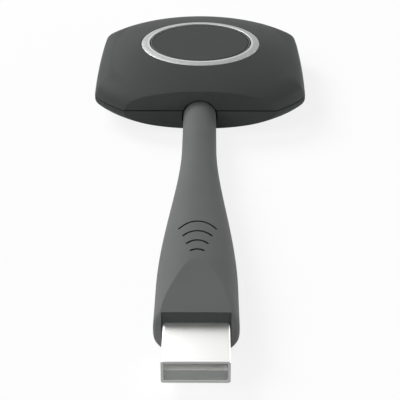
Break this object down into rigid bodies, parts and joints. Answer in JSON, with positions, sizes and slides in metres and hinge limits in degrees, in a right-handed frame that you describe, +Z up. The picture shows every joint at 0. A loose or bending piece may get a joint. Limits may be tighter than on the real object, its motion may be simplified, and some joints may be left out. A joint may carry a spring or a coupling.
{
  "type": "wireless presentation dongle",
  "caption": "Wireless presentation dongle: domed two-shell head with a round press button in a satin trim ring, a flexible moulded stem and a metal-shelled rectangular data plug.",
  "frame": {"origin": "the resting plane under the head, on the button's axis", "axes": "+Z up along the button's axis, -Y along the stem to the plug, +X to the right seen from the plug"},
  "size_m": [0.0532, 0.1632, 0.0145],
  "materials": {
    "cover_plastic": "fine moulded texture, matte",
    "foot_rubber": "matte",
    "ring_metal": "satin, fine turned grain",
    "guide_plastic": "frosted, translucent",
    "button_plastic": "very fine texture, matte",
    "inner_plastic": "moulded",
    "black_plastic": "moulded epoxy",
    "white_plastic": "moulded",
    "silicone": "soft, matte",
    "board": "solder mask over glass epoxy",
    "lamp_plastic": "clear resin",
    "tin_plate": "satin tin plate",
    "ceramic": "fired ceramic",
    "aluminium_sheet": "rolled sheet",
    "ferrite": "sintered",
    "screw_steel": "zinc plated",
    "stem_rubber": "soft-touch moulded elastomer, matte",
    "jacket_vinyl": "smooth vinyl",
    "braid": "tinned copper braid",
    "wire_vinyl": "coloured wire insulation",
    "core_plastic": "natural polyethylene",
    "plug_metal": "satin nickel plate",
    "tongue_plastic": "moulded nylon",
    "contact_plate": "pale nickel-gold flash plate"
  },
  "bodies": {
    "head": {"top_cover": "cover_plastic", "bottom_cover": "cover_plastic", "base_pad": "foot_rubber", "trim_ring": "ring_metal", "light_guide": "guide_plastic", "button_carrier": "inner_plastic", "return_ring": "silicone", "switch_body": "black_plastic", "main_board": "board", "led_lights": "lamp_plastic", "radio_shield": "tin_plate", "radio_chip": "black_plastic", "antennas": "ceramic", "processor_chip": "black_plastic", "thermal_pad": "silicone", "heat_spreader": "aluminium_sheet", "memory_chips": "black_plastic", "clock_crystal": "tin_plate", "power_inductors": "ferrite", "capacitors": "ceramic", "cover_screws": "screw_steel", "board_screws": "screw_steel", "neck_grommet": "inner_plastic", "cable_clamp": "inner_plastic", "clamp_screws": "screw_steel", "lead_plug": "white_plastic", "lead_socket": "white_plastic"},
    "button": {"button_cap": "button_plastic"},
    "plunger": {"switch_plunger": "white_plastic"},
    "plug": {"stem_sleeve": "stem_rubber", "cable_jacket": "jacket_vinyl", "cable_shield": "braid", "cable_ferrule": "tin_plate", "conductors": "wire_vinyl", "plug_core": "core_plastic", "plug_shell": "plug_metal", "plug_tongue": "tongue_plastic", "plug_contacts": "contact_plate"}
  },
  "joints": [
    {"name": "button_press", "type": "slide", "parent": "head", "child": "button", "axis": [0, 0, -1], "range_m": [0, 0.0005], "stiffness_N_per_m": 800, "springref_m": -0.001, "deforming": ["return_ring"]},
    {"name": "switch_press", "type": "slide", "parent": "head", "child": "plunger", "axis": [0, 0, -1], "range_m": [0, 0.0005]},
    {"name": "neck_bend", "type": "hinge", "parent": "head", "child": "plug", "pos_m": [0, -0.042, 0.0048], "axis": [-1, 0, 0], "range_deg": [-40, 60], "stiffness_Nm_per_rad": 0.15, "deforming": ["stem_sleeve", "cable_jacket", "cable_shield", "conductors"]}
  ],
  "couplings": [
    {"joint": "switch_press", "follows": "button_press", "ratio": 1}
  ]
}
